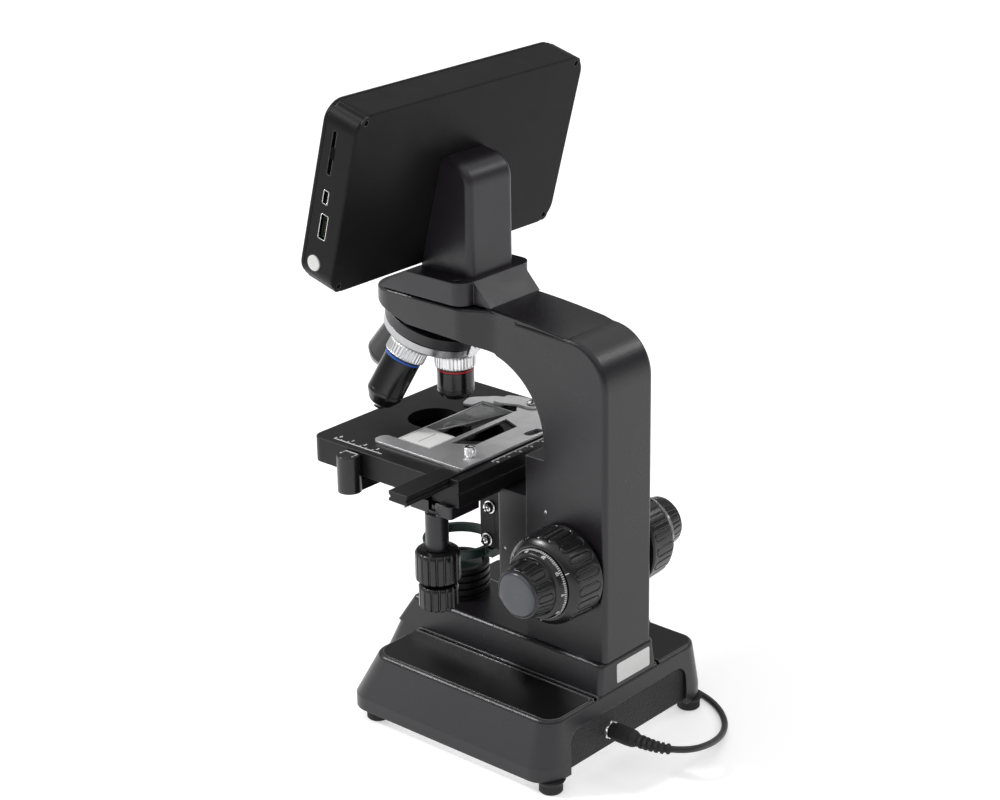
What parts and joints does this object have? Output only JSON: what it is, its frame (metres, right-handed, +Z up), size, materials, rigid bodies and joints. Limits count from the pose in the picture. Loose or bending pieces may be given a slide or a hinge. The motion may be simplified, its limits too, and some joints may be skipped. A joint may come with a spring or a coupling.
{
  "type": "lcd digital microscope",
  "caption": "Upright transmitted-light microscope with a tilted LCD monitor head, turning nosepiece, mechanical stage, coaxial focus knobs and a low-voltage power lead.",
  "frame": {"origin": "middle of the footprint, on the surface that the feet stand on", "axes": "+Z up along the optical axis, the user and the screen are at -Y, the arm and the power inlet at +Y, +X is the user's right"},
  "size_m": [0.2377, 0.265, 0.3899],
  "materials": {
    "cast_black": "satin, fine sand texture paint",
    "stage_black": "satin anodised black",
    "moulded_black": "fine matt black",
    "pad_gloss": "gloss black",
    "panel_texture": "coarse sand texture",
    "objective_black": "gloss black",
    "bright_metal": "bright nickel",
    "satin_steel": "satin",
    "brass": "plain",
    "ring_green": "dark green anodised",
    "glass": "clear",
    "rubber": "matt",
    "cord": "satin",
    "electronics": "plain",
    "screen": "gloss",
    "button_white": "gloss"
  },
  "bodies": {
    "base": {"base_housing": "cast_black", "base_bottom_plate": "satin_steel", "bottom_screws": "bright_metal", "rubber_feet": "rubber", "pad_left": "pad_gloss", "pad_right": "pad_gloss", "rear_panel": "panel_texture", "dc_jack": "brass", "dc_jack_nut": "bright_metal", "illuminator": "stage_black", "field_lens": "glass", "led_module": "electronics", "driver_board": "electronics", "arm": "cast_black", "nosepiece_seat": "cast_black", "detent_spring": "bright_metal", "dc_plug": "moulded_black", "cord_tube": "cord", "cord_coil": "cord", "wall_adapter": "moulded_black"},
    "stage": {"focus_carrier": "cast_black", "focus_rack": "brass", "stage_base": "stage_black", "y_index_boss": "stage_black", "condenser": "stage_black", "condenser_lens": "glass", "filter_bracket": "stage_black", "filter_ring": "ring_green", "stage_screws": "bright_metal"},
    "plate": {"stage_plate": "stage_black", "x_rail": "stage_black", "drive_bracket": "stage_black"},
    "holder": {"x_bar": "stage_black", "holder_plate": "bright_metal", "holder_screws": "bright_metal", "specimen_slide": "glass"},
    "finger": {"spring_finger": "satin_steel"},
    "y_drive": {"y_knob": "moulded_black"},
    "x_drive": {"x_knob": "moulded_black"},
    "coarse": {"coarse_knob_right": "moulded_black", "coarse_knob_left": "moulded_black", "coarse_shaft": "satin_steel"},
    "fine": {"fine_knob_right": "moulded_black", "fine_knob_left": "moulded_black", "fine_shaft": "satin_steel"},
    "nosepiece": {"turret": "bright_metal", "objective_red": "objective_black", "objective_yellow": "objective_black", "objective_light_blue": "objective_black", "objective_dark_blue": "objective_black"},
    "light_blue_tip": {"objective_light_blue_tip": "bright_metal"},
    "dark_blue_tip": {"objective_dark_blue_tip": "bright_metal"},
    "head": {"head_collar": "cast_black", "stem": "moulded_black", "monitor_back": "moulded_black", "monitor_bezel": "moulded_black", "lcd_panel": "screen", "main_board": "electronics", "camera_module": "electronics"},
    "button": {"power_button": "button_white"}
  },
  "joints": [
    {"name": "stage_lift", "type": "slide", "parent": "base", "child": "stage", "axis": [0, 0, 1], "range_m": [-0.022, 0]},
    {"name": "coarse_turn", "type": "hinge", "parent": "base", "child": "coarse", "pos_m": [0, 0.0704, 0.1177], "axis": [1, 0, 0], "range_deg": [-1, 172]},
    {"name": "fine_turn", "type": "hinge", "parent": "base", "child": "fine", "pos_m": [0, 0.0704, 0.1177], "axis": [1, 0, 0], "continuous": true},
    {"name": "y_travel", "type": "slide", "parent": "stage", "child": "plate", "axis": [0, 1, 0], "range_m": [-0.018, 0.012]},
    {"name": "y_drive", "type": "hinge", "parent": "plate", "child": "y_drive", "pos_m": [0.061, 0.0049, 0.115], "axis": [0, 0, 1], "range_deg": [-130, 88]},
    {"name": "x_travel", "type": "slide", "parent": "plate", "child": "holder", "axis": [1, 0, 0], "range_m": [-0.03, 0.03]},
    {"name": "x_drive", "type": "hinge", "parent": "plate", "child": "x_drive", "pos_m": [0.061, 0.0049, 0.096], "axis": [0, 0, 1], "range_deg": [-216, 216]},
    {"name": "finger_turn", "type": "hinge", "parent": "holder", "child": "finger", "pos_m": [-0.049, -0.0161, 0.1755], "axis": [0, 0, -1], "range_deg": [0, 30], "stiffness_Nm_per_rad": 0.03},
    {"name": "nosepiece_turn", "type": "hinge", "parent": "base", "child": "nosepiece", "pos_m": [0, -0.05196, 0.22654], "axis": [0, 0.344, 0.939], "continuous": true},
    {"name": "light_blue_tip_slide", "type": "slide", "parent": "nosepiece", "child": "light_blue_tip", "axis": [0, 0.646, 0.7633], "range_m": [0, 0.002], "stiffness_N_per_m": 400},
    {"name": "dark_blue_tip_slide", "type": "slide", "parent": "nosepiece", "child": "dark_blue_tip", "axis": [-0.344, 0.323, 0.8817], "range_m": [0, 0.002], "stiffness_N_per_m": 400},
    {"name": "head_swivel", "type": "hinge", "parent": "base", "child": "head", "pos_m": [0, -0.0341, 0.2625], "axis": [0, 0, 1], "range_deg": [-180, 180]},
    {"name": "button_press", "type": "slide", "parent": "head", "child": "button", "axis": [-1, 0, 0], "range_m": [0, 0.0008], "stiffness_N_per_m": 600}
  ],
  "couplings": [
    {"joint": "coarse_turn", "follows": "stage_lift", "rad_per_m": -133.33},
    {"joint": "y_drive", "follows": "y_travel", "rad_per_m": 125},
    {"joint": "x_drive", "follows": "x_travel", "rad_per_m": 125}
  ]
}
